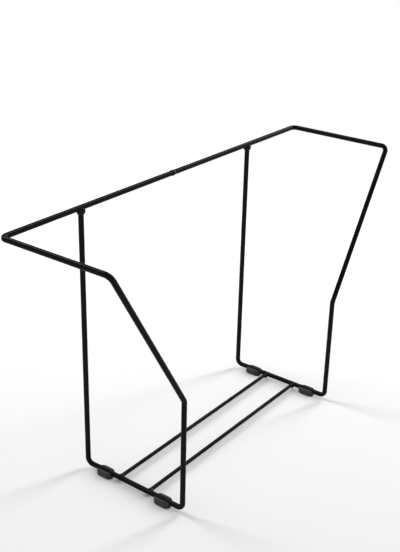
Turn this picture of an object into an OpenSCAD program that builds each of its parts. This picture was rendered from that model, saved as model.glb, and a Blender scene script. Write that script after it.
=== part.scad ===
// Record storage stand: two mirrored rods, each bent in three dimensions, welded into one rack.
// The rack stands on the plane z = 0. +X is to the right, +Y to the back and +Z up, in millimetres.
// The origin is on the floor, under the middle of the rack.

/* [Rack size] */
// Distance between the centre lines of the two side arms
arm_spacing = 344; // [330:1:450]
// Distance from the front legs to the rear rail, between centre lines
rack_depth = 92; // [70:1:300]
// Height of the arms' and rail's centre line above the floor
arm_height = 212; // [160:1:300]

/* [Front legs] */
// Distance between the centre lines of the two front legs, and of the uprights behind them
leg_spacing = 200; // [120:1:300]
// Height above the floor at which a leg turns outwards into its diagonal
knee_height = 94; // [40:1:140]

/* [Frame rod] */
// Diameter of the frame rods
rod_d = 4; // [3.5:0.25:6]
// Radius of every bend, on the rod's centre line
bend_r = 4.5; // [4:0.5:12]
// Amount by which the stretched metal in a bend is thinner than the straight rod, on its radius
bend_thinning = 0.02; // [0.01:0.01:0.1]

/* [Cross rods] */
// Diameter of the two cross rods between the base runs
cross_rod_d = 3; // [2:0.25:3]
// Distance from the end of a foot to the centre line of the cross rod beside it
cross_rod_inset = 6.5; // [4:0.5:10]

/* [Welds] */
// Gap left between a rod's end and the rod that it is welded to
root_gap = 0.4; // [0.2:0.1:0.8]
// How far the weld at the top of an upright spreads past the rod
upright_weld_leg = 1.6; // [1:0.1:2.5]
// How far the weld at the end of a cross rod spreads past the rod
cross_weld_leg = 1; // [0.8:0.1:1.3]
// How far a cross rod's weld stays below the top of the base run
weld_recess = 0.2; // [0.1:0.1:0.4]
// Width of the ring of weld round the middle of the rail
ring_weld_w = 4; // [2:0.5:6]
// Height above the rod of a weld that is dressed nearly flush
dressed_weld = 0.3; // [0.1:0.1:0.6]

/* [Feet] */
// Thickness of rubber between a base run and the floor
sole = 2; // [1.5:0.5:5]
// Length of a foot along the base run
foot_l = 15; // [10:1:18]
// Thickness of rubber beside the rod
foot_wall = 2.5; // [1.5:0.25:4]
// Bevel along a foot's edges
foot_bevel = 0.8; // [0.4:0.1:1.2]
// Height by which the foot's two lips pass the rod's centre line, to hold it
lip_rise = 1; // [0.5:0.1:1.2]
// Straight stretch of base run between a bend and the foot beside it
foot_gap = 6; // [1:0.5:10]

/* [Hidden] */
$fn = 64;

LEFT = -1;
RIGHT = 1;
FRONT = -1;
REAR = 1;

rod_r = rod_d / 2;
cross_rod_r = cross_rod_d / 2;
leg_x = leg_spacing / 2;
arm_x = arm_spacing / 2;
end_y = rack_depth / 2;
base_z = sole + rod_r;
bend_lap = 0.1;
lap_angle = atan(bend_lap / bend_r);
upright_top = arm_height - rod_r - root_gap;
foot_y = end_y - bend_r - foot_gap - foot_l / 2;
cross_rod_y = foot_y - foot_l / 2 - cross_rod_inset;
cross_rod_end = leg_x - rod_r - root_gap;

black_steel = [0.07, 0.07, 0.08];
black_weld = [0.09, 0.09, 0.10];
black_rubber = [0.13, 0.13, 0.13];

// Corners of the right-hand rod's centre line before it is bent, from the middle of the rail,
// round the outside to the front, down to the floor, and back to the top of the rear upright.
frame_corners = [
    [0, end_y, arm_height],
    [arm_x, end_y, arm_height],
    [arm_x, -end_y, arm_height],
    [leg_x, -end_y, knee_height],
    [leg_x, -end_y, base_z],
    [leg_x, end_y, base_z],
    [leg_x, end_y, upright_top]
];

// ---- A rod bent the way a wire bender works: feed a length, turn the plane, bend by an angle ----

function unit(v) = v / norm(v);

function run_dir(corners, i) = unit(corners[i + 1] - corners[i]);

function is_bend(corners, i) = i > 0 && i < len(corners) - 1;

function bend_angle(corners, i) = acos(run_dir(corners, i - 1) * run_dir(corners, i));

// How far before and after a corner its bend starts and ends
function setback(corners, i) = is_bend(corners, i) ? bend_r * tan(bend_angle(corners, i) / 2) : 0;

// Length fed between the end of one bend and the start of the next
function feed(corners, i) =
    norm(corners[i + 1] - corners[i]) - setback(corners, i) - setback(corners, i + 1);

// Normal of the plane in which the rod bends at corner i
function bend_normal(corners, i) = unit(cross(run_dir(corners, i - 1), run_dir(corners, i)));

// Angle by which the rod is turned about itself between the bends at corners i and i + 1
function plane_turn(corners, i) =
    let (a = bend_normal(corners, i), b = bend_normal(corners, i + 1))
    atan2(cross(a, b) * run_dir(corners, i), a * b);

// Bend that starts along +Z at the origin and turns towards +X. It is a little thinner than the
// straight runs, and its ends reach a short way inside them.
module elbow(angle) {
    translate([bend_r, 0, 0])
        rotate([90, 0, 180])
            rotate([0, 0, -lap_angle])
                rotate_extrude(angle = angle + 2 * lap_angle)
                    translate([bend_r, 0])
                        circle(r = rod_r - bend_thinning);
}

// Lays the run that starts at corner i, then the bend after it, and goes on from there
module lay_rod(corners, i = 0) {
    length = feed(corners, i);
    cylinder(r = rod_r, h = length);
    if (is_bend(corners, i + 1)) {
        angle = bend_angle(corners, i + 1);
        turn = is_bend(corners, i + 2) ? plane_turn(corners, i + 1) : 0;
        translate([0, 0, length]) {
            elbow(angle);
            translate([bend_r, 0, 0])
                rotate([0, angle, 0])
                    translate([-bend_r, 0, 0])
                        rotate([0, 0, turn])
                            lay_rod(corners, i + 1);
        }
    }
}

// A rod from corners[0], whose first bend lies in the plane of its first three corners
module bent_rod(corners) {
    z = run_dir(corners, 0);
    y = bend_normal(corners, 1);
    x = cross(y, z);
    o = corners[0];
    multmatrix([
        [x[0], y[0], z[0], o[0]],
        [x[1], y[1], z[1], o[1]],
        [x[2], y[2], z[2], o[2]]
    ])
        lay_rod(corners);
}

module frame_rod() {
    color(black_steel)
        bent_rod(frame_corners);
}

// The right-hand side as drawn, or its mirror image
module on_side(side) {
    if (side == RIGHT) children();
    else mirror([1, 0, 0]) children();
}

module left_frame_rod() {
    on_side(LEFT) frame_rod();
}

module right_frame_rod() {
    on_side(RIGHT) frame_rod();
}

// Straight stretch of the right-hand rod's base run, for cutting what sits against it
module base_run() {
    translate([leg_x, 0, base_z])
        rotate([90, 0, 0])
            cylinder(r = rod_r, h = rack_depth, center = true);
}

// ---- Cross rods, cut short of the base runs by the root gap at both ends ----

// Thin rod between the two base runs, level with their centre lines
module cross_rod(end) {
    color(black_steel)
        translate([0, end * cross_rod_y, base_z])
            rotate([0, 90, 0])
                cylinder(r = cross_rod_r, h = 2 * cross_rod_end, center = true);
}

module front_cross_rod() {
    cross_rod(FRONT);
}

module rear_cross_rod() {
    cross_rod(REAR);
}

// ---- Welds ----

// Low ring of weld where the two rods meet, end to end, in the middle of the rail
module rail_ring_weld() {
    crown_r = (pow(ring_weld_w / 2, 2) + pow(dressed_weld, 2)) / (2 * dressed_weld);
    color(black_weld)
        translate([0, end_y, arm_height])
            rotate([0, 90, 0])
                rotate_extrude()
                    intersection() {
                        translate([rod_r + dressed_weld - crown_r, 0]) circle(r = crown_r, $fn = 256);
                        translate([rod_r, -ring_weld_w]) square([crown_r, 2 * ring_weld_w]);
                    }
}

// Weld that joins the top of an upright to the rail above it. It spreads along the rail, and is
// dressed nearly flush at the front and back, where things lean on the rods.
module upright_weld(side) {
    weld_r = rod_r + upright_weld_leg;
    color(black_weld)
        on_side(side)
            translate([leg_x, end_y, 0])
                difference() {
                    intersection() {
                        translate([0, 0, upright_top])
                            sphere(r = weld_r);
                        translate([-weld_r, -rod_r - dressed_weld, base_z])
                            cube([2 * weld_r, rod_d + 2 * dressed_weld, arm_height - base_z]);
                    }
                    translate([0, 0, base_z])
                        cylinder(r = rod_r, h = upright_top - base_z);
                    translate([0, 0, arm_height])
                        rotate([0, 90, 0])
                            cylinder(r = rod_r, h = 4 * weld_r, center = true);
                }
}

module left_upright_weld() {
    upright_weld(LEFT);
}

module right_upright_weld() {
    upright_weld(RIGHT);
}

// Drop of weld that joins a cross rod's end to the base run beside it
module cross_weld(side, end) {
    weld_r = cross_rod_r + cross_weld_leg;
    color(black_weld)
        on_side(side)
            difference() {
                translate([cross_rod_end, end * cross_rod_y, base_z + rod_r - weld_recess - weld_r])
                    rotate([0, 90, 0])
                        sphere(r = weld_r);
                translate([0, end * cross_rod_y, base_z])
                    rotate([0, 90, 0])
                        cylinder(r = cross_rod_r, h = cross_rod_end);
                base_run();
            }
}

module front_left_cross_weld() {
    cross_weld(LEFT, FRONT);
}

module front_right_cross_weld() {
    cross_weld(RIGHT, FRONT);
}

module rear_left_cross_weld() {
    cross_weld(LEFT, REAR);
}

module rear_right_cross_weld() {
    cross_weld(RIGHT, REAR);
}

// ---- Rubber feet, pushed on to the base runs from below ----

// Half of a foot's section, from its middle outwards
module foot_half_section() {
    half_w = rod_r + foot_wall;
    height = base_z + lip_rise;
    polygon([
        [0, 0], [half_w - foot_bevel, 0], [half_w, foot_bevel],
        [half_w, height - foot_bevel], [half_w - foot_bevel, height], [0, height]
    ]);
}

// Rubber block with rounded ends and a flat sole, before its channel is cut
module foot_block() {
    straight = foot_l - rod_d - 2 * foot_wall;
    rotate([90, 0, 0])
        linear_extrude(straight, center = true) {
            foot_half_section();
            mirror([1, 0]) foot_half_section();
        }
    for (end = [FRONT, REAR])
        translate([0, end * straight / 2, 0])
            rotate([0, 0, end == FRONT ? 180 : 0])
                rotate_extrude(angle = 180)
                    foot_half_section();
}

// Foot whose channel takes the base run, and whose lips hold the run above its centre line
module foot(side, end) {
    color(black_rubber)
        on_side(side)
            difference() {
                translate([leg_x, end * foot_y, 0]) foot_block();
                base_run();
            }
}

module front_left_foot() {
    foot(LEFT, FRONT);
}

module front_right_foot() {
    foot(RIGHT, FRONT);
}

module rear_left_foot() {
    foot(LEFT, REAR);
}

module rear_right_foot() {
    foot(RIGHT, REAR);
}

left_frame_rod();
right_frame_rod();
front_cross_rod();
rear_cross_rod();
rail_ring_weld();
left_upright_weld();
right_upright_weld();
front_left_cross_weld();
front_right_cross_weld();
rear_left_cross_weld();
rear_right_cross_weld();
front_left_foot();
front_right_foot();
rear_left_foot();
rear_right_foot();
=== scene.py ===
"""Looks of the record storage stand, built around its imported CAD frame.

The stand is two mirrored steel rods, each bent in three dimensions, tied by two thin cross rods,
welded, coated gloss black and set on four rubber feet. All lengths are in metres, in the frame of
the CAD part: +X to the right, +Y to the back, +Z up, with the origin on the floor.
"""
import logging
import math
from dataclasses import dataclass
from enum import Enum
from itertools import product

import bmesh
import bpy
import numpy as np
from mathutils import Matrix, Vector


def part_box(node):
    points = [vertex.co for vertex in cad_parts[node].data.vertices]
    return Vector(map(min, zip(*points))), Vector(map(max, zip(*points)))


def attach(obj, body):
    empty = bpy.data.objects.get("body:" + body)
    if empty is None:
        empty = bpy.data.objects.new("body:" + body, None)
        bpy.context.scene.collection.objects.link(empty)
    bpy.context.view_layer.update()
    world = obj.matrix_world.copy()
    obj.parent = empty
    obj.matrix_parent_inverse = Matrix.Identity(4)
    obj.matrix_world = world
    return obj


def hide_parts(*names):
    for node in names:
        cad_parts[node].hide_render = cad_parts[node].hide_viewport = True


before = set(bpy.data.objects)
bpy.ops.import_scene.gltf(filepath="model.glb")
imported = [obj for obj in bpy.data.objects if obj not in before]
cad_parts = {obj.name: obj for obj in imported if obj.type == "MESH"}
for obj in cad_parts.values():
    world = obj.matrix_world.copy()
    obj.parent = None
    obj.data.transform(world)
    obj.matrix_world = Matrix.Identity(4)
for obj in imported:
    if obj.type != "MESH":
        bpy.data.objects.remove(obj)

LOG = logging.getLogger("record_storage_stand")
BODY = "root"
MM = 0.001
TURN = 2 * math.pi
IMAGE_WIDTH = 400
TINY = 1e-9

Span = tuple[float, float]
Point = tuple[float, float, float]
Rgba = tuple[float, float, float, float]

WHITE: Rgba = (1.0, 1.0, 1.0, 1.0)


class Place(Enum):
    """A side or an end of the stand."""

    @property
    def word(self) -> str:
        """The place's name, as nodes and pieces use it."""
        return self.name.lower()


class Side(Place):
    """The side of the stand, with the sign of its X."""

    LEFT = -1
    RIGHT = 1


class End(Place):
    """The end of the base, with the sign of its Y."""

    FRONT = -1
    REAR = 1


class Slot(Enum):
    """The record's material slots."""

    ROD = "black_rod"
    WELD = "black_weld"
    RUBBER = "black_rubber"


# ---- Sizes ---------------------------------------------------------------------------------


@dataclass(frozen=True)
class StandSizes:
    """Sizes of the stand that more than one sub-assembly uses, as in the CAD source."""

    arm_spacing: float = 344 * MM
    rack_depth: float = 92 * MM
    arm_height: float = 212 * MM
    leg_spacing: float = 200 * MM
    knee_height: float = 94 * MM
    rod_d: float = 4 * MM
    bend_r: float = 4.5 * MM
    cross_rod_d: float = 3 * MM
    cross_rod_inset: float = 6.5 * MM
    root_gap: float = 0.4 * MM
    sole: float = 2 * MM
    foot_l: float = 15 * MM
    foot_gap: float = 6 * MM

    @property
    def rod_r(self) -> float:
        """Radius of a frame rod."""
        return self.rod_d / 2

    @property
    def cross_rod_r(self) -> float:
        """Radius of a cross rod."""
        return self.cross_rod_d / 2

    @property
    def leg_x(self) -> float:
        """Distance from the middle to a leg's centre line."""
        return self.leg_spacing / 2

    @property
    def end_y(self) -> float:
        """Distance from the middle to the legs, and to the rail."""
        return self.rack_depth / 2

    @property
    def base_z(self) -> float:
        """Height of the base runs' centre lines."""
        return self.sole + self.rod_r

    @property
    def upright_top(self) -> float:
        """Height of an upright's cut end, under the rail."""
        return self.arm_height - self.rod_r - self.root_gap

    @property
    def foot_y(self) -> float:
        """Distance from the middle to a foot's centre."""
        return self.end_y - self.bend_r - self.foot_gap - self.foot_l / 2

    @property
    def cross_rod_y(self) -> float:
        """Distance from the middle to a cross rod."""
        return self.foot_y - self.foot_l / 2 - self.cross_rod_inset

    @property
    def cross_rod_end(self) -> float:
        """Distance from the middle to a cross rod's cut end."""
        return self.leg_x - self.rod_r - self.root_gap


# ---- Surfaces on grids ---------------------------------------------------------------------


def unit(vectors: np.ndarray) -> np.ndarray:
    """Divides vectors, which lie along the last axis, by their lengths."""
    return vectors / np.linalg.norm(vectors, axis=-1, keepdims=True)


def turn_of(places: int) -> np.ndarray:
    """Returns the angles of evenly spaced places round a full turn."""
    return np.linspace(0.0, TURN, places, endpoint=False)


def dot(a: np.ndarray, b: np.ndarray) -> np.ndarray:
    """Returns the dot product along the last axis, which is kept as an axis of one."""
    return np.sum(a * b, axis=-1, keepdims=True)


def signed_volume(points: np.ndarray, quads: np.ndarray) -> float:
    """Measures the volume that a closed mesh encloses.

    The volume is a sixth of the sum of a . (b x c) over the triangles a, b, c.

    Args:
        points: Vertices, one row each.
        quads: Corner numbers, four for each face.

    Returns:
        The volume, positive where the faces point outwards.
    """
    a, b, c, d = (points[quads[:, k]] for k in range(4))
    halves = np.sum(a * np.cross(b, c), axis=1) + np.sum(a * np.cross(c, d), axis=1)
    return float(np.sum(halves)) / 6


def grid_quads(rows: int, columns: int, wrap: bool) -> np.ndarray:
    """Numbers the faces of a grid of vertices.

    Args:
        rows: Vertices along the first axis.
        columns: Vertices along the second axis.
        wrap: Whether the last column joins the first.

    Returns:
        An array of four corner numbers for each face.
    """
    i, j = np.meshgrid(np.arange(rows - 1), np.arange(columns if wrap else columns - 1),
                       indexing="ij")
    k = (j + 1) % columns
    corners = (i * columns + j, i * columns + k, (i + 1) * columns + k, (i + 1) * columns + j)
    return np.stack(corners, axis=-1).reshape(-1, 4)


def into_scene(name: str, data: bpy.types.ID) -> bpy.types.Object:
    """Makes an object at the origin and links it to the scene.

    Args:
        name: Name of the object.
        data: Its mesh, lamp or camera.

    Returns:
        The object.
    """
    thing = bpy.data.objects.new(name, data)
    bpy.context.scene.collection.objects.link(thing)
    return thing


def make_mesh(name: str, points: np.ndarray, quads: np.ndarray,
              uvs: np.ndarray) -> bpy.types.Object:
    """Makes a smooth-shaded object from arrays, with its faces outwards.

    A face that names one corner twice becomes a triangle.

    Args:
        name: Name of the piece.
        points: Vertices in metres, one row each.
        quads: Four corner numbers for each face.
        uvs: For each face, four pairs of metres along and around the surface.

    Returns:
        The new object, linked to the scene.
    """
    if signed_volume(points, quads) < 0:
        quads, uvs = quads[:, ::-1], uvs[:, ::-1]
    apart = quads != np.roll(quads, -1, axis=1)
    loops = quads[apart]
    counts = apart.sum(axis=1)
    starts = np.concatenate(([0], np.cumsum(counts)[:-1]))
    mesh = bpy.data.meshes.new(name)
    mesh.vertices.add(len(points))
    mesh.vertices.foreach_set("co", points.astype(np.float32).ravel())
    mesh.loops.add(len(loops))
    mesh.loops.foreach_set("vertex_index", loops.astype(np.int32))
    mesh.polygons.add(len(starts))
    mesh.polygons.foreach_set("loop_start", starts.astype(np.int32))
    mesh.update(calc_edges=True)
    run = mesh.uv_layers.new(name="run")
    run.data.foreach_set("uv", uvs[apart].astype(np.float32).ravel())
    mesh.polygons.foreach_set("use_smooth", np.ones(len(starts), bool))
    mesh.validate()
    return into_scene(name, mesh)


def points_of(mesh: bpy.types.Mesh) -> np.ndarray:
    """Reads a mesh's vertices.

    Args:
        mesh: The mesh.

    Returns:
        Its vertices, one row each.
    """
    points = np.empty(len(mesh.vertices) * 3, np.float32)
    mesh.vertices.foreach_get("co", points)
    return points.reshape(-1, 3).astype(float)


def closed_grid(name: str, grid: np.ndarray, along: np.ndarray, radius: float,
                poles: tuple[np.ndarray, np.ndarray]) -> bpy.types.Object:
    """Makes a closed piece from rings of points, with a pole that closes it at each end.

    Args:
        name: Name of the piece.
        grid: Points by ring and by place around the ring.
        along: Distance of each ring along the surface.
        radius: Radius by which the UV map measures round the rings.
        poles: The points that close the first and the last ring.

    Returns:
        The new object.
    """
    rings, places = grid.shape[:2]
    points = np.concatenate((poles[0][None], grid.reshape(-1, 3), poles[1][None]))
    numbers = np.zeros((rings + 2, places), int)
    numbers[1:-1] = np.arange(1, rings * places + 1).reshape(rings, places)
    numbers[-1] = rings * places + 1
    quads = numbers.ravel()[grid_quads(rings + 2, places, wrap=True)]
    s = np.concatenate(([along[0]], along, [along[-1]]))
    around = np.linspace(0.0, TURN * radius, places + 1)
    unrolled = np.stack(np.meshgrid(s, around, indexing="ij"), axis=-1).reshape(-1, 2)
    return make_mesh(name, points, quads,
                     unrolled[grid_quads(rings + 2, places + 1, wrap=False)])


# ---- A rod's path --------------------------------------------------------------------------


@dataclass(frozen=True)
class RodPath:
    """Centre line of a bent rod, sampled from end to end, with a frame that doesn't twist."""

    points: np.ndarray
    tangents: np.ndarray
    normals: np.ndarray
    outward: np.ndarray
    bent: np.ndarray

    @property
    def binormals(self) -> np.ndarray:
        """The third direction of the frame at each sample."""
        return np.cross(self.tangents, self.normals)

    @property
    def lengths(self) -> np.ndarray:
        """Distance of each sample from the start."""
        steps = np.linalg.norm(np.diff(self.points, axis=0), axis=1)
        return np.concatenate(([0.0], np.cumsum(steps)))


@dataclass
class WireBender:
    """Lays a path the way a wire bender works: feed a length, turn the plane, bend."""

    radius: float
    feed_step: float = 1.0 * MM
    least_samples: int = 3
    bend_samples: int = 22

    def lay(self, corners: np.ndarray) -> RodPath:
        """Rounds the corners of a line and samples it.

        A bend of radius r through an angle q starts and ends r tan(q / 2) from its corner. Its
        points are the corner's start turned about the bend's centre, and the frame turns with them.

        Args:
            corners: Corners of the centre line before it is bent.

        Returns:
            The sampled path.
        """
        runs = unit(np.diff(corners, axis=0))
        turns = np.arccos(np.clip(np.sum(runs[:-1] * runs[1:], axis=1), -1, 1))
        setback = np.concatenate(([0.0], self.radius * np.tan(turns / 2), [0.0]))
        normal = unit(np.cross(runs[0], np.cross(runs[0], runs[1])))
        rows: list[tuple[np.ndarray, ...]] = []
        for i, run in enumerate(runs):
            start = corners[i] + run * setback[i]
            length = np.linalg.norm(corners[i + 1] - corners[i]) - setback[i] - setback[i + 1]
            count = max(self.least_samples, math.ceil(length / self.feed_step) + 1)
            fed = np.linspace(0.0, length, count)[:, None]
            one = np.ones((count, 1))
            rows.append((start + run * fed, run * one, normal * one, normal * one, 0 * one))
            if i < len(turns):
                end = start + run * length
                rows.append(self._bend(end, run, runs[i + 1], normal, turns[i]))
                normal = rows[-1][2][-1]
                rows[-1] = tuple(part[1:-1] for part in rows[-1])
        return RodPath(*(np.concatenate(column) for column in zip(*rows)))

    def _bend(self, start: np.ndarray, run: np.ndarray, after: np.ndarray, normal: np.ndarray,
              angle: float) -> tuple[np.ndarray, ...]:
        """Samples one bend.

        Args:
            start: Point where the bend starts.
            run: Direction before the bend.
            after: Direction after the bend.
            normal: Normal of the rod's frame before the bend.
            angle: Angle of the bend in radians.

        Returns:
            Points, tangents, normals, directions away from the bend's centre, and how far each
            sample is into the bend, from 0 at its ends to 1 in its middle.
        """
        axis = unit(np.cross(run, after))
        inward = np.cross(axis, run)
        centre = start + inward * self.radius
        t = np.linspace(0.0, 1.0, self.bend_samples)[:, None]
        c, s = np.cos(angle * t), np.sin(angle * t)
        away = -inward * c + run * s
        tangents = run * c + inward * s
        normals = normal * c + np.cross(axis, normal) * s + axis * np.dot(axis, normal) * (1 - c)
        return centre + self.radius * away, tangents, normals, away, np.sin(math.pi * t) ** 2


def stand_off(cosines: np.ndarray, sines: np.ndarray, path: RodPath) -> np.ndarray:
    """Returns the directions cos N + sin B, from the centre line to the rod's surface."""
    return cosines * path.normals[:, None, :] + sines * path.binormals[:, None, :]


@dataclass(frozen=True)
class CoatWave:
    """One slow wave in a coat's thickness, which swings to and fro around the rod."""

    share: float
    length: float
    swing: float
    lobes: int
    lean: float = 0.0
    phase: float = 0.0


COAT_WAVES = (
    CoatWave(1.0, 31.0 * MM, swing=1.3, lobes=1),
    CoatWave(1.0, 12.7 * MM, swing=2.0, lobes=1, lean=0.8, phase=1.0),
    CoatWave(0.6, 7.9 * MM, swing=2.0, lobes=2, lean=2.1 - math.pi / 2),
    CoatWave(0.4, 5.3 * MM, swing=1.7, lobes=3),
)


def coat_ripple(s: np.ndarray, phi: np.ndarray) -> np.ndarray:
    """Gives the slow waves in the thickness of a coat that has flowed out.

    Each wave is its share of sin(2 pi s / length + swing cos(lobes phi + lean) + phase). Their
    lengths share no common measure. The sum is scaled to lie between 0 and 1.

    Args:
        s: Distances along the rod, as a column.
        phi: Angles around the rod, as a row.

    Returns:
        The wave height at each point of the grid.
    """
    waves = sum(wave.share * np.sin(TURN * s / wave.length + wave.phase
                                    + wave.swing * np.cos(wave.lobes * phi + wave.lean))
                for wave in COAT_WAVES)
    most = sum(wave.share for wave in COAT_WAVES)
    return (waves + most) / (2 * most)


@dataclass
class RodSkin:
    """Surface of a coated rod along a path."""

    radius: float
    ripple: float = 0.012 * MM
    flattening: float = 0.035
    chamfer: float = 0.25 * MM
    sides: int = 40

    def piece(self, name: str, path: RodPath) -> bpy.types.Object:
        """Carries the rod's section along its path.

        The section is a circle. In a bend it is narrower in the bend's plane by a share f, so its
        radius is r (1 - f w cos^2), where w says how far into the bend it is. The coat takes its
        ripple off that.

        Args:
            name: Name of the piece.
            path: The rod's centre line.

        Returns:
            The rod, with a small chamfer round each cut end.
        """
        phi = turn_of(self.sides)
        way = stand_off(np.cos(phi)[None, :, None], np.sin(phi)[None, :, None], path)
        in_plane = dot(way, path.outward[:, None, :]) ** 2
        radius = self.radius * (1 - self.flattening * path.bent[:, None, :] * in_plane)
        s = path.lengths
        radius = radius - self.ripple * coat_ripple(s[:, None], phi[None, :])[..., None]
        skin = path.points[:, None, :] + radius * way
        inner = 1 - self.chamfer / self.radius
        caps = [path.points[k] + (skin[k] - path.points[k]) * inner for k in (0, -1)]
        body = skin.copy()
        body[0] += path.tangents[0] * self.chamfer
        body[-1] -= path.tangents[-1] * self.chamfer
        grid = np.concatenate((caps[0][None], body, caps[1][None]))
        along = np.concatenate(([s[0]], s, [s[-1]]))
        return closed_grid(name, grid, along, self.radius, (path.points[0], path.points[-1]))


# ---- Finishes ------------------------------------------------------------------------------


class Graph:
    """Small helper that adds and links the nodes of one material, or of the world."""

    # Colour sockets of a Mix node.
    COLOUR_A = 6
    COLOUR_B = 7
    COLOUR_OUT = 2

    def __init__(self, owner: bpy.types.Material | bpy.types.World) -> None:
        """Starts with no nodes.

        Args:
            owner: The material or world.
        """
        owner.use_nodes = True
        self.owner = owner
        self.tree = owner.node_tree
        self.tree.nodes.clear()

    def add(self, kind: str, values: dict[str | int, object] | None = None,
            **settings: object) -> bpy.types.Node:
        """Adds a node.

        Args:
            kind: The node's type, without the leading ShaderNode.
            values: Inputs by name or number, each a value or an output socket to link.
            **settings: Properties of the node.

        Returns:
            The node.
        """
        node = self.tree.nodes.new("ShaderNode" + kind)
        for key, value in settings.items():
            setattr(node, key, value)
        for key, value in (values or {}).items():
            if isinstance(value, bpy.types.NodeSocket):
                self.tree.links.new(value, node.inputs[key])
            else:
                node.inputs[key].default_value = value
        return node

    def maths(self, operation: str, *terms: object) -> bpy.types.NodeSocket:
        """Returns the output of a Math node on two or three values or sockets."""
        return self.add("Math", dict(enumerate(terms)), operation=operation).outputs[0]

    def ramp(self, value: bpy.types.NodeSocket, span: Span,
             results: Span = (0.0, 1.0)) -> bpy.types.NodeSocket:
        """Returns a value mapped smoothly from a span to a pair of results."""
        values = {"Value": value, "From Min": span[0], "From Max": span[1],
                  "To Min": results[0], "To Max": results[1]}
        return self.add("MapRange", values, interpolation_type="SMOOTHSTEP").outputs["Result"]

    def noise(self, coordinates: bpy.types.NodeSocket, scale: float, detail: float = 2.0,
              roughness: float = 0.5) -> bpy.types.NodeSocket:
        """Returns the value of a Noise texture at some coordinates."""
        values = {"Vector": coordinates, "Scale": scale, "Detail": detail, "Roughness": roughness}
        return self.add("TexNoise", values).outputs["Fac"]

    def bump(self, height: bpy.types.NodeSocket, depth: float,
             **more: object) -> bpy.types.NodeSocket:
        """Returns the normal of a relief with a depth in metres, and other inputs by name."""
        values = {"Height": height, "Distance": depth, "Strength": 1.0} | more
        return self.add("Bump", values).outputs["Normal"]

    def blend(self, share: object, a: object, b: object) -> bpy.types.NodeSocket:
        """Returns two colours, each a value or a socket, mixed by the share of the second."""
        values = {0: share, self.COLOUR_A: a, self.COLOUR_B: b}
        return self.add("Mix", values, data_type="RGBA").outputs[self.COLOUR_OUT]

    def finish(self, shader: bpy.types.Node) -> bpy.types.Material | bpy.types.World:
        """Links the last shader to the output.

        Args:
            shader: Node that gives the shader.

        Returns:
            The finished material or world.
        """
        kind = "World" if isinstance(self.owner, bpy.types.World) else "Material"
        self.add("Output" + kind, {"Surface": shader.outputs[0]})
        return self.owner


@dataclass(frozen=True)
class GlossCoat:
    """Gloss black powder coat: flowed-out skin, fine orange peel, rub marks and a little dust."""

    name: str
    tint: Rgba = (0.0030, 0.0035, 0.0052, 1.0)
    thin_tint: Rgba = (0.0045, 0.0052, 0.0074, 1.0)
    thin_span: Span = (0.38, 0.70)
    dust_tint: Rgba = (0.07, 0.068, 0.065, 1.0)
    roughness: Span = (0.15, 0.24)
    roughness_span: Span = (0.34, 0.66)
    specular: float = 0.008
    coat: float = 0.12
    coat_roughness: float = 0.04
    coat_ior: float = 1.5
    flow_per_metre: float = 46.0
    peel_per_metre: float = 620.0
    peel_depth: float = 0.024 * MM
    rub: float = 0.06
    rub_depth: float = 0.003 * MM
    rubs_per_metre: Span = (70.0, 3200.0)
    rub_span: Span = (0.52, 0.72)
    patches_per_metre: float = 19.0
    patch_span: Span = (0.45, 0.65)
    dust: float = 0.35
    specks_per_metre: float = 2300.0
    speck_span: Span = (0.70, 0.78)
    upward_span: Span = (0.25, 0.9)

    def material(self) -> bpy.types.Material:
        """Builds the coat.

        Orange peel and rub marks roughen its surface. The rub marks run along the piece, in
        patches, and dust specks lie where it faces up. The tint is paler where the coat is thin.

        Returns:
            The material.
        """
        g = Graph(bpy.data.materials.new(self.name))
        place = g.add("TexCoord").outputs["Object"]
        run = g.add("UVMap", uv_map="run").outputs["UV"]
        drawn = g.add("Mapping", {"Vector": run, "Scale": (*self.rubs_per_metre, 1.0)})
        flow = g.noise(place, self.flow_per_metre, detail=3.0)
        peel = g.noise(place, self.peel_per_metre, roughness=0.45)
        rubs = g.noise(drawn.outputs["Vector"], 1.0, detail=3.0, roughness=0.6)
        patches = g.noise(place, self.patches_per_metre)
        rub = g.maths("MULTIPLY", g.ramp(rubs, self.rub_span), g.ramp(patches, self.patch_span))
        roughness = g.maths("MULTIPLY_ADD", rub, self.rub,
                            g.ramp(flow, self.roughness_span, self.roughness))
        upward = g.add("SeparateXYZ", {0: g.add("NewGeometry").outputs["Normal"]}).outputs["Z"]
        specks = g.noise(place, self.specks_per_metre, detail=1.0)
        settled = g.maths("MULTIPLY", g.ramp(specks, self.speck_span),
                          g.ramp(upward, self.upward_span, (0.0, self.dust)))
        colour = g.blend(g.ramp(flow, self.thin_span), self.tint, self.thin_tint)
        colour = g.blend(settled, colour, self.dust_tint)
        worn = g.bump(rub, self.rub_depth, Normal=g.bump(peel, self.peel_depth))
        shader = g.add("BsdfPrincipled", {
            "Base Color": colour, "Roughness": roughness, "Normal": worn, "Coat Normal": worn,
            "Specular IOR Level": self.specular, "Coat Weight": self.coat,
            "Coat Roughness": self.coat_roughness, "Coat IOR": self.coat_ior})
        return g.finish(shader)


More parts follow.
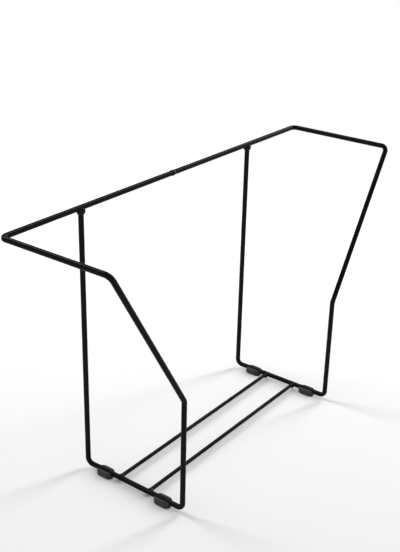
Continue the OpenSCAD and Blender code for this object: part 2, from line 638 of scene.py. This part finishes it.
@dataclass(frozen=True)
class MouldedRubber:
    """Matt black rubber with the fine grain of its mould, and dust towards the floor."""

    name: str
    tint: Rgba = (0.012, 0.012, 0.0125, 1.0)
    bloom_tint: Rgba = (0.030, 0.030, 0.031, 1.0)
    dust_tint: Rgba = (0.10, 0.095, 0.09, 1.0)
    roughness: Span = (0.58, 0.80)
    roughness_span: Span = (0.3, 0.7)
    specular: float = 0.35
    sheen: float = 0.12
    sheen_roughness: float = 0.5
    grain_per_metre: float = 5200.0
    grain_depth: float = 0.02 * MM
    grain_strength: float = 0.8
    bloom_per_metre: float = 260.0
    bloom_span: Span = (0.35, 0.68)
    dust: float = 0.55
    dust_height: float = 1.1 * MM
    dust_span: Span = (0.42, 0.62)

    def material(self) -> bpy.types.Material:
        """Builds the rubber.

        Bloom pales it in clouds, and dust clings to the same clouds near the floor.

        Returns:
            The material.
        """
        g = Graph(bpy.data.materials.new(self.name))
        place = g.add("TexCoord").outputs["Object"]
        grain = g.noise(place, self.grain_per_metre, detail=3.0, roughness=0.6)
        bloom = g.noise(place, self.bloom_per_metre, detail=4.0, roughness=0.6)
        height = g.add("SeparateXYZ", {0: place}).outputs["Z"]
        low = g.ramp(height, (0.0, self.dust_height), (self.dust, 0.0))
        dust = g.maths("MULTIPLY", low, g.ramp(bloom, self.dust_span))
        colour = g.blend(g.ramp(bloom, self.bloom_span), self.tint, self.bloom_tint)
        colour = g.blend(dust, colour, self.dust_tint)
        roughness = g.ramp(bloom, self.roughness_span, self.roughness)
        relief = g.bump(grain, self.grain_depth, Strength=self.grain_strength)
        shader = g.add("BsdfPrincipled", {
            "Base Color": colour, "Roughness": roughness, "Normal": relief,
            "Specular IOR Level": self.specular, "Sheen Weight": self.sheen,
            "Sheen Roughness": self.sheen_roughness})
        return g.finish(shader)


@dataclass(frozen=True)
class PaleSweep:
    """Pale studio floor that keeps the shadow near the stand and is plain white further out."""

    name: str
    tint: Rgba = (0.93, 0.93, 0.93, 1.0)
    grain_tint: Rgba = (0.91605, 0.91605, 0.91605, 1.0)
    grain_per_metre: float = 900.0
    grain_span: Span = (0.3, 0.7)
    roughness: float = 0.4
    shadow_span: Span = (0.28, 0.85)

    def material(self) -> bpy.types.Material:
        """Builds the floor's finish.

        Rays from the camera, and those that gloss or glass sends on, see plain white beyond the
        floor near the stand.

        Returns:
            The material.
        """
        g = Graph(bpy.data.materials.new(self.name))
        place = g.add("TexCoord").outputs["Object"]
        distance = g.add("VectorMath", {0: place}, operation="LENGTH").outputs["Value"]
        grain = g.ramp(g.noise(place, self.grain_per_metre), self.grain_span)
        matt = g.add("BsdfDiffuse", {"Color": g.blend(grain, self.tint, self.grain_tint),
                                     "Roughness": self.roughness})
        white = g.add("Emission", {"Color": WHITE, "Strength": 1.0})
        ray = g.add("LightPath").outputs
        seen = g.maths("MAXIMUM", ray["Is Camera Ray"],
                       g.maths("MAXIMUM", ray["Is Glossy Ray"], ray["Is Transmission Ray"]))
        share = g.maths("MULTIPLY", seen, g.ramp(distance, self.shadow_span))
        mixed = g.add("MixShader", {0: share, 1: matt.outputs[0], 2: white.outputs[0]})
        return g.finish(mixed)


# ---- Pieces --------------------------------------------------------------------------------


def put_on(piece: bpy.types.Object, node: str, finish: bpy.types.Material) -> None:
    """Dresses a piece, stands it in for its CAD node and reports it.

    Args:
        piece: The finished piece.
        node: CAD node that it replaces.
        finish: Its material.
    """
    piece.data.materials.append(finish)
    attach(piece, BODY)
    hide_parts(node)
    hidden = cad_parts[node]
    hidden.data.materials.clear()
    hidden.data.materials.append(finish)
    low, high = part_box(node)
    points = points_of(piece.data)
    apart = max(np.abs(points.min(0) - low).max(), np.abs(points.max(0) - high).max())
    LOG.info("%s: %d faces, box within %.2f mm of node %s", piece.name,
             len(piece.data.polygons), apart / MM, node)


@dataclass
class BeadSkin:
    """Face of a weld between two toes, one on each rod, laid as a row of overlapping ripples."""

    centre: np.ndarray
    radius: float
    ripples: int
    ripple: float = 0.05 * MM
    lean: float = 5.6
    flatness: float = 0.10
    sunk: float = 0.04 * MM
    root: float = 0.55
    face_radii: float = 1.6
    rows: int = 26

    def piece(self, name: str, toe_a: np.ndarray, toe_b: np.ndarray,
              poles: tuple[np.ndarray, np.ndarray]) -> bpy.types.Object:
        """Spans the bead from one toe to the other and closes it inside both rods.

        A point is the straight blend of its two toe points, pushed out by a share sqrt(h) of the
        way to a ball of radius r (1 - f h), where h is 4 t (1 - t). Ripples are added, whose height
        is h (|sin(n phi / 2 + lean (t - 1/2)^2)| - 1/2), and the toes are sunk by a share 1 - h.

        Args:
            name: Name of the piece.
            toe_a: Closed line on the rod that ends here, one row for each place around it.
            toe_b: Closed line on the rod that runs past, row for row.
            poles: Points inside the first and the second rod.

        Returns:
            The bead.
        """
        phi = turn_of(len(toe_a))[None, :, None]
        t = np.linspace(0.0, 1.0, self.rows)[:, None, None]
        line = (1 - t) * toe_a[None] + t * toe_b[None]
        arm = line - self.centre
        hump = 4 * t * (1 - t)
        straight = np.linalg.norm(arm, axis=-1, keepdims=True)
        ball = self.radius * (1 - self.flatness * hump)
        reach = straight + (ball - straight) * np.sqrt(hump)
        wave = np.abs(np.sin(self.ripples / 2 * phi + self.lean * (t - 0.5) ** 2)) - 0.5
        reach = reach + self.ripple * wave * hump - self.sunk * (1 - hump)
        face = self.centre + arm / straight * reach
        deep_a = poles[0] + (toe_a - poles[0]) * self.root
        deep_b = poles[1] + (toe_b - poles[1]) * self.root
        grid = np.concatenate((deep_a[None], face, deep_b[None]))
        along = np.linspace(0.0, self.face_radii * self.radius, len(grid))
        return closed_grid(name, grid, along, self.radius, poles)


@dataclass
class BentFrame:
    """The two bent rods, the ring of weld that joins them and the welds of their uprights."""

    sizes: StandSizes
    coat: bpy.types.Material
    weld_coat: bpy.types.Material
    upright_weld_leg: float = 1.6 * MM
    upright_ripples: int = 26
    upright_poles: Span = (0.4 * MM, 0.6 * MM)
    dressed_weld: float = 0.3 * MM
    dressed_edge: float = 0.12 * MM
    ring_weld_w: float = 4 * MM
    ring_ripples: int = 9
    ring_ripple: float = 0.16
    ring_clear: float = 1.15
    ring_lean: float = 1.1
    ring_sunk: float = 0.05 * MM
    ring_sharpness: int = 8
    ring_root: Point = (0.9, 0.6, 0.6)
    ring_pole: float = 0.45
    ring_rows: int = 30
    ring_sides: int = 72
    weld_sides: int = 96
    settling_steps: int = 30

    def corners(self, side: Side) -> np.ndarray:
        """Gives the corners of a rod's centre line before it is bent.

        Args:
            side: Side of the stand.

        Returns:
            The corners, from the rail's middle round to the top of the upright.
        """
        z = self.sizes
        arm_x = z.arm_spacing / 2
        right = np.array([
            (0.0, z.end_y, z.arm_height),
            (arm_x, z.end_y, z.arm_height),
            (arm_x, -z.end_y, z.arm_height),
            (z.leg_x, -z.end_y, z.knee_height),
            (z.leg_x, -z.end_y, z.base_z),
            (z.leg_x, z.end_y, z.base_z),
            (z.leg_x, z.end_y, z.upright_top)])
        return right * (side.value, 1, 1)

    def rod(self, side: Side) -> bpy.types.Object:
        """Bends and coats the frame rod of one side."""
        path = WireBender(self.sizes.bend_r).lay(self.corners(side))
        return RodSkin(self.sizes.rod_r).piece(f"{side.word}_bent_rod", path)

    def ring_weld(self) -> bpy.types.Object:
        """Turns the ring of weld in the middle of the rail.

        Its height above the rod is h (1 - u^2) across the ring, for u from -1 to 1, with shallow
        ripples |sin(n phi + lean u^2)| cut into it. Its edges are sunk into the rod by d u^k.

        Returns:
            The ring.
        """
        z = self.sizes
        u = np.linspace(-1.0, 1.0, self.ring_rows)[:, None, None]
        phi = turn_of(self.ring_sides)[None, :, None]
        crown = 1 - u ** 2
        ripple = self.ring_ripple * (self.ring_clear - np.abs(
            np.sin(self.ring_ripples * phi + self.ring_lean * u ** 2)))
        height = self.dressed_weld * crown * (1 - ripple)
        radius = z.rod_r + height - self.ring_sunk * u ** self.ring_sharpness
        middle = np.array((0.0, z.end_y, z.arm_height))
        x = self.ring_weld_w / 2 * u + 0 * phi
        grid = middle + np.concatenate((x, radius * np.cos(phi), radius * np.sin(phi)), axis=-1)
        inner = middle + (grid[[0, -1]] - middle) * self.ring_root
        grid = np.concatenate((inner[:1], grid, inner[1:]))
        half = np.array((self.ring_weld_w * self.ring_pole, 0.0, 0.0))
        return closed_grid("rail_weld_ring", grid, np.linspace(0, self.ring_weld_w, len(grid)),
                           z.rod_r, (middle - half, middle + half))

    def rail_underside(self, y: np.ndarray) -> np.ndarray:
        """Returns the rail's lower face above an upright's end, up - sqrt(r^2 - y^2), at y."""
        z = self.sizes
        return z.arm_height - z.upright_top - np.sqrt(np.maximum(z.rod_r ** 2 - y ** 2, 0))

    def upright_weld(self, side: Side) -> bpy.types.Object:
        """Lays the collar of weld under the rail at the top of an upright.

        The bead lies on a ball about the upright's end. Its lower toe is the ball's circle on the
        upright. Its upper toe is where the ball, or the rail's widest line where that is nearer,
        meets the rail: in the direction phi that is rho (cos phi, sin phi), with rho^2 = r^2 less
        the square of the rail's underside. As that depends on rho, it is found by halving steps.
        The front and back are dressed nearly flush.

        Args:
            side: Side of the stand.

        Returns:
            The weld.
        """
        z = self.sizes
        r = z.rod_r + self.upright_weld_leg
        centre = np.array((side.value * z.leg_x, z.end_y, z.upright_top))
        phi = turn_of(self.weld_sides)
        c, s = np.cos(phi), np.sin(phi)
        rho = np.full_like(phi, r)
        widest = z.rod_r / np.maximum(np.abs(s), TINY)
        for _ in range(self.settling_steps):
            under = self.rail_underside(np.clip(rho * s, -z.rod_r, z.rod_r))
            on_ball = np.sqrt(np.maximum(r ** 2 - under ** 2, 0))
            rho = (rho + np.minimum(on_ball, widest)) / 2
        y = np.clip(rho * s, -z.rod_r, z.rod_r)
        toe_b = centre + np.stack((rho * c, y, self.rail_underside(y)), axis=-1)
        foot = -math.sqrt(r ** 2 - z.rod_r ** 2)
        toe_a = centre + np.stack((z.rod_r * c, z.rod_r * s, np.full_like(phi, foot)), axis=-1)
        rail_z = z.arm_height - z.upright_top
        poles = (centre + (0, 0, foot + self.upright_poles[0]),
                 centre + (0, 0, rail_z - self.upright_poles[1]))
        weld = BeadSkin(centre, r, self.upright_ripples).piece(
            f"{side.word}_upright_weld_bead", toe_a, toe_b, poles)
        return self.dress_flush(weld)

    def dress_flush(self, weld: bpy.types.Object) -> bpy.types.Object:
        """Grinds a weld's front and back nearly flush with the rail, and its top with its middle.

        What stands out past a soft edge e, up to the furthest reach, is drawn in to
        reach - e + e tanh(over / e).

        Args:
            weld: The weld.

        Returns:
            The same weld, dressed.
        """
        z = self.sizes
        reach, soft = z.rod_r + self.dressed_weld, self.dressed_edge
        points = points_of(weld.data)
        y = points[:, 1] - z.end_y
        over = np.maximum(np.abs(y) - (reach - soft), 0)
        points[:, 1] = z.end_y + np.sign(y) * np.where(
            over > 0, reach - soft + soft * np.tanh(over / soft), np.abs(y))
        points[:, 2] = np.minimum(points[:, 2], z.arm_height)
        weld.data.vertices.foreach_set("co", points.astype(np.float32).ravel())
        weld.data.update()
        return weld

    def build(self) -> None:
        """Builds and dresses every piece of the frame."""
        for side in Side:
            put_on(self.rod(side), f"{side.word}_frame_rod", self.coat)
        put_on(self.ring_weld(), "rail_ring_weld", self.weld_coat)
        for side in Side:
            put_on(self.upright_weld(side), f"{side.word}_upright_weld",
                   self.weld_coat)


@dataclass
class BaseTies:
    """The two cross rods between the base runs, and the drops of weld at their ends."""

    sizes: StandSizes
    coat: bpy.types.Material
    weld_coat: bpy.types.Material
    rod_samples: int = 190
    rod_sides: int = 32
    rod_ripple: float = 0.010 * MM
    cross_weld_leg: float = 1 * MM
    weld_recess: float = 0.2 * MM
    weld_ripples: int = 18
    weld_ripple: float = 0.045 * MM
    weld_pole: float = 1.2 * MM
    weld_sides: int = 72
    search_steps: int = 4001

    def rod(self, end: End) -> bpy.types.Object:
        """Coats one cross rod.

        Args:
            end: End of the base.

        Returns:
            The rod.
        """
        z = self.sizes
        y = end.value * z.cross_rod_y
        xs = np.linspace(-z.cross_rod_end, z.cross_rod_end, self.rod_samples)
        points = np.stack((xs, np.full_like(xs, y), np.full_like(xs, z.base_z)), axis=-1)
        one = np.ones((len(xs), 1))
        path = RodPath(points, one * (1.0, 0.0, 0.0), one * (0.0, 0.0, 1.0),
                       one * (0.0, 0.0, 1.0), 0 * one)
        skin = RodSkin(z.cross_rod_r, ripple=self.rod_ripple, sides=self.rod_sides)
        return skin.piece(f"{end.word}_tie_rod", path)

    def weld(self, side: Side, end: End) -> bpy.types.Object:
        """Lays the drop of weld between a cross rod's end and the base run.

        The bead lies on a ball. Its toe on the cross rod is x = -sqrt(r^2 - y^2 - z^2) round that
        rod, from the ball's centre. Its toe on the base run is y^2 = r^2 - x^2 - z^2, with x and z
        on the run's circle, between the two angles where y is nought.

        Args:
            side: Side of the stand.
            end: End of the base.

        Returns:
            The weld.
        """
        z = self.sizes
        r = z.cross_rod_r + self.cross_weld_leg
        drop = z.rod_r - self.weld_recess - r
        centre = np.array((z.cross_rod_end, end.value * z.cross_rod_y, z.base_z + drop))
        phi = turn_of(self.weld_sides)
        a_y, a_z = z.cross_rod_r * np.cos(phi), z.cross_rod_r * np.sin(phi) - drop
        toe_a = centre + np.stack((-np.sqrt(r ** 2 - a_y ** 2 - a_z ** 2), a_y, a_z), axis=-1)
        run_x = z.leg_x - z.cross_rod_end
        angles = np.linspace(-math.pi / 2, math.pi / 2, self.search_steps)
        out = run_x - z.rod_r * np.cos(angles)
        left = r ** 2 - out ** 2 - (z.rod_r * np.sin(angles) - drop) ** 2
        inside = angles[left > 0]
        middle, half = (inside[0] + inside[-1]) / 2, (inside[-1] - inside[0]) / 2
        theta = middle + half * np.sin(phi)
        b_x = run_x - z.rod_r * np.cos(theta)
        b_z = z.rod_r * np.sin(theta) - drop
        b_y = np.sign(np.cos(phi)) * np.sqrt(np.maximum(r ** 2 - b_x ** 2 - b_z ** 2, 0))
        toe_b = centre + np.stack((b_x, b_y, b_z), axis=-1)
        poles = (centre + (-self.weld_pole, 0, -drop), centre + (self.weld_pole, 0, -drop))
        mirror = (side.value, 1, 1)
        bead = BeadSkin(centre * mirror, r, self.weld_ripples, ripple=self.weld_ripple)
        return bead.piece(f"{end.word}_{side.word}_tie_weld_bead", toe_a * mirror,
                          toe_b * mirror, (poles[0] * mirror, poles[1] * mirror))

    def build(self) -> None:
        """Builds and dresses the cross rods and their welds."""
        for end in End:
            put_on(self.rod(end), f"{end.word}_cross_rod", self.coat)
        for end, side in product(End, Side):
            put_on(self.weld(side, end), f"{end.word}_{side.word}_cross_weld",
                   self.weld_coat)


@dataclass
class RubberFeet:
    """The four rubber feet, clipped on to the base runs from below."""

    sizes: StandSizes
    rubber: bpy.types.Material
    wall: float = 2.5 * MM
    lip_rise: float = 1 * MM
    sole_round: float = 0.55 * MM
    top_round: float = 0.9 * MM
    lip_round: float = 0.22 * MM
    lip_sharpness: int = 6
    parting: float = 0.05 * MM
    parting_w: float = 0.11 * MM
    parting_height: float = 0.47
    columns: int = 72
    edge_samples: int = 9
    wall_samples: int = 34
    sole_samples: int = 8
    lip_samples: int = 16
    seam: float = 0.002 * MM
    sliver: float = 0.0005 * MM

    @property
    def top(self) -> float:
        """Height of the lips."""
        return self.sizes.base_z + self.lip_rise

    @property
    def lip_z(self) -> float:
        """Height at which a lip's rounded edge meets the channel."""
        return self.top - self.lip_round

    def outer_profile(self) -> tuple[np.ndarray, np.ndarray]:
        """Gives the foot's outer wall, from its sole up to its top.

        Both edges are quarter circles. Beside the channel the heights are equal steps of angle
        around the rod. The mould's parting line is a fine ridge about halfway up, with the
        profile exp(-(h / w)^2).

        Returns:
            Inset from the widest outline, and height, of each point.
        """
        z = self.sizes
        q = np.linspace(0.0, math.pi / 2, self.edge_samples)
        low_in, low_z = self.sole_round * (1 - np.sin(q)), self.sole_round * (1 - np.cos(q))
        last = math.asin((self.lip_z - z.base_z) / z.rod_r)
        beside = z.base_z + z.rod_r * np.sin(np.linspace(-math.pi / 2, last, self.wall_samples))
        below = np.linspace(self.sole_round, z.sole, self.edge_samples)[1:-1]
        wall_z = np.concatenate((below, beside[beside < self.top - self.top_round - self.parting]))
        high_in = self.top_round * (1 - np.cos(q))
        high_z = self.top - self.top_round * (1 - np.sin(q))
        inset = np.concatenate((low_in, 0 * wall_z, high_in))
        height = np.concatenate((low_z, wall_z, high_z))
        ridge = np.exp(-((height - self.top * self.parting_height) / self.parting_w) ** 2)
        return inset + self.parting * (1 - ridge), height

    def half(self) -> np.ndarray:
        """Works out the right half of a foot on a grid, about the foot's own middle.

        Each column starts on the sole under the rod, goes out to the outline, up the outer wall,
        over the lip and down the channel. The outline at a height is two half circles joined by
        straight sides, cut where it meets the channel, whose half width there is
        sqrt(r^2 - (z - z0)^2). Both walls are shared out evenly from the front cut to the back,
        and have the same heights, so that they meet in the cuts. The lip drops towards the
        channel by l s^k, for s from 0 to 1.

        Returns:
            Points by column and by place along the column.
        """
        z = self.sizes
        widest = z.rod_r + self.wall
        straight = z.foot_l / 2 - widest
        t = np.linspace(-1.0, 1.0, self.columns)[:, None]
        inset, height = self.outer_profile()
        radius = (widest - inset)[None, :]
        channel = np.sqrt(np.maximum(z.rod_r ** 2 - (height - z.base_z) ** 2, 0))
        channel = np.where(height > z.sole, channel, 0.0)[None, :]
        begin = np.arcsin(np.clip(channel / radius, 0, 1))
        arc = (math.pi / 2 - begin) * radius
        total = arc + straight
        along = t * total
        over = np.maximum(np.abs(along) - straight, 0.0) / radius
        x_out = radius * np.cos(over)
        y_out = np.sign(along) * (np.minimum(np.abs(along), straight) + radius * np.sin(over))
        outer = np.stack((x_out, y_out, height[None, :] + 0 * t), axis=-1)
        sole = np.linspace(0.0, 1.0, self.sole_samples)[None, :-1, None]
        middle = np.stack((0 * t, y_out[:, :1], 0 * t), axis=-1)
        under = middle + (outer[:, :1] - middle) * sole
        shared = height[(height > z.sole) & (height < self.lip_z)]
        c_z = np.concatenate(([self.lip_z], shared[::-1], [z.sole]))
        c_x = np.sqrt(np.maximum(z.rod_r ** 2 - (c_z - z.base_z) ** 2, 0))
        inset_at = np.interp(c_z, height, inset)
        c_y = straight + np.sqrt(np.maximum((widest - inset_at) ** 2 - c_x ** 2, 0))
        wall = np.stack((c_x[None, :] + 0 * t, t * c_y[None, :], c_z[None, :] + 0 * t), axis=-1)
        from_edge, to_edge = outer[:, -1:], wall[:, :1]
        share = np.linspace(0.0, 1.0, self.lip_samples)[None, 1:-1, None]
        over_lip = from_edge + (to_edge - from_edge) * share
        over_lip[..., 2] = self.top - self.lip_round * share[..., 0] ** self.lip_sharpness
        return np.concatenate((under, outer, over_lip, wall), axis=1)

    def foot(self, side: Side, end: End) -> bpy.types.Object:
        """Makes one foot from its two halves, joined along the middle.

        Args:
            side: Side of the stand.
            end: End of the base.

        Returns:
            The foot.
        """
        z = self.sizes
        half = self.half()
        columns, places = half.shape[:2]
        quads = grid_quads(columns, places, wrap=False)
        centre = np.array((side.value * z.leg_x, end.value * z.foot_y, 0.0))
        points = np.concatenate((half.reshape(-1, 3), half.reshape(-1, 3) * (-1, 1, 1))) + centre
        quads = np.concatenate((quads, quads[:, ::-1] + columns * places))
        uvs = (points - centre)[quads][..., :2]
        foot = make_mesh(f"{end.word}_{side.word}_rubber_foot", points, quads, uvs)
        tidy = bmesh.new()
        tidy.from_mesh(foot.data)
        bmesh.ops.remove_doubles(tidy, verts=tidy.verts, dist=self.seam)
        bmesh.ops.dissolve_degenerate(tidy, dist=self.sliver, edges=tidy.edges)
        bmesh.ops.holes_fill(tidy, edges=[edge for edge in tidy.edges if edge.is_boundary])
        bmesh.ops.recalc_face_normals(tidy, faces=tidy.faces)
        tidy.to_mesh(foot.data)
        tidy.free()
        return foot

    def build(self) -> None:
        """Builds and dresses the four feet."""
        for end, side in product(End, Side):
            put_on(self.foot(side, end), f"{end.word}_{side.word}_foot", self.rubber)


# ---- Studio --------------------------------------------------------------------------------


@dataclass(frozen=True)
class SoftBox:
    """An area lamp behind a diffuser."""

    name: str
    place: Point
    width: float
    height: float
    power: float
    aim: Point = (0.0, 0.0, 0.12)

    def hang(self) -> bpy.types.Object:
        """Hangs the lamp.

        Returns:
            The lamp, turned to its aim and out of the camera's sight.
        """
        lamp = bpy.data.lights.new(self.name, "AREA")
        lamp.shape = "RECTANGLE"
        lamp.size, lamp.size_y = self.width, self.height
        lamp.energy = self.power
        box = into_scene(self.name, lamp)
        way = Vector(self.aim) - Vector(self.place)
        box.matrix_world = (Matrix.Translation(self.place)
                            @ way.to_track_quat("-Z", "Y").to_matrix().to_4x4())
        box.visible_camera = False
        return box


@dataclass
class Studio:
    """Plain pale floor, white surroundings and soft lamps."""

    floor_radius: float = 7.0
    first_ring: float = 0.05
    rings: int = 40
    spokes: int = 97
    floor_gap: float = 0.03 * MM
    dimming_span: Span = (0.10, 0.42)
    room: float = 0.35
    boxes: tuple[SoftBox, ...] = (
        SoftBox("rear_softbox", (-0.15, 1.1, 1.25), width=0.45, height=1.2, power=14.0),
        SoftBox("right_softbox", (1.25, -0.2, 1.2), width=0.45, height=1.2, power=14.0),
        SoftBox("low_strip", (1.38, -0.40, 0.46), width=0.30, height=0.60, power=12.0,
                aim=(0.0, 0.0, 0.18)),
    )

    def floor(self) -> bpy.types.Object:
        """Lays the floor as rings round the stand, closer together near it.

        A point is (rho cos phi, rho sin phi), a hair under the soles.

        Returns:
            The floor.
        """
        rho = np.geomspace(self.first_ring, self.floor_radius, self.rings)
        rho = np.concatenate(([0.0], rho))[:, None]
        phi = np.linspace(0.0, TURN, self.spokes)
        grid = np.stack((rho * np.cos(phi), rho * np.sin(phi), 0 * rho * phi - self.floor_gap),
                        axis=-1)
        quads = grid_quads(self.rings + 1, self.spokes, wrap=False)[:, ::-1]
        mesh = bpy.data.meshes.new("studio_floor")
        mesh.from_pydata(grid.reshape(-1, 3).tolist(), [], quads.tolist())
        mesh.validate()
        mesh.materials.append(PaleSweep("pale_sweep").material())
        floor = into_scene("studio_floor", mesh)
        return floor

    def surround(self) -> None:
        """Makes the room: white at and below the horizon, dimmer overhead, as in a plain studio."""
        g = Graph(bpy.data.worlds.new("studio_room"))
        lift = g.add("SeparateXYZ", {0: g.add("TexCoord").outputs["Generated"]}).outputs["Z"]
        strength = g.ramp(lift, self.dimming_span, (1.0, self.room))
        bpy.context.scene.world = g.finish(
            g.add("Background", {"Color": WHITE, "Strength": strength}))

    def build(self) -> None:
        """Sets up the floor, the surroundings and the lamps."""
        self.floor()
        self.surround()
        for box in self.boxes:
            box.hang()
            LOG.info("lamp %s", box.name)
        bpy.context.scene.view_settings.view_transform = "Standard"


@dataclass(frozen=True)
class PhotoCamera:
    """Camera at the photograph's place and angle, found by fitting the stand's bends to it."""

    place: Point = (-0.546680, -0.388330, 0.441080)
    azimuth: float = -53.4079
    elevation: float = 24.242
    roll: float = 1.383
    focal_pixels: float = 963.899
    sensor: float = 36.0
    clip: Span = (0.01, 50.0)

    def set_up(self) -> bpy.types.Object:
        """Makes the scene's camera.

        It looks along minus (sin a cos e, -cos a cos e, sin e), turned by the roll.

        Returns:
            The camera.
        """
        a, e, roll = (math.radians(v) for v in (self.azimuth, self.elevation, self.roll))
        back = Vector((math.sin(a) * math.cos(e), -math.cos(a) * math.cos(e), math.sin(e)))
        level = (-back).cross(Vector((0, 0, 1))).normalized()
        rise = level.cross(-back)
        right = math.cos(roll) * level + math.sin(roll) * rise
        up = -math.sin(roll) * level + math.cos(roll) * rise
        lens = bpy.data.cameras.new("photo_camera")
        lens.sensor_fit = "HORIZONTAL"
        lens.sensor_width = self.sensor
        lens.lens = self.focal_pixels / IMAGE_WIDTH * self.sensor
        lens.dof.use_dof = False
        lens.clip_start, lens.clip_end = self.clip
        camera = into_scene("photo_camera", lens)
        turned = Matrix((right, up, back)).transposed().to_4x4()
        camera.matrix_world = Matrix.Translation(self.place) @ turned
        bpy.context.scene.camera = camera
        return camera


def main() -> None:
    """Builds the stand's sub-assemblies in order, then the studio."""
    logging.basicConfig(level=logging.INFO, format="%(message)s")
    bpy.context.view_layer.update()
    PhotoCamera().set_up()
    sizes = StandSizes()
    coat = GlossCoat("gloss_black_coat").material()
    weld_coat = GlossCoat("gloss_black_coat_over_weld", roughness=(0.20, 0.30),
                          peel_per_metre=430.0, rub=0.0).material()
    rubber = MouldedRubber("moulded_black_rubber").material()
    BentFrame(sizes, coat, weld_coat).build()
    BaseTies(sizes, coat, weld_coat).build()
    RubberFeet(sizes, rubber).build()
    Studio().build()


if __name__ == "__main__":
    main()
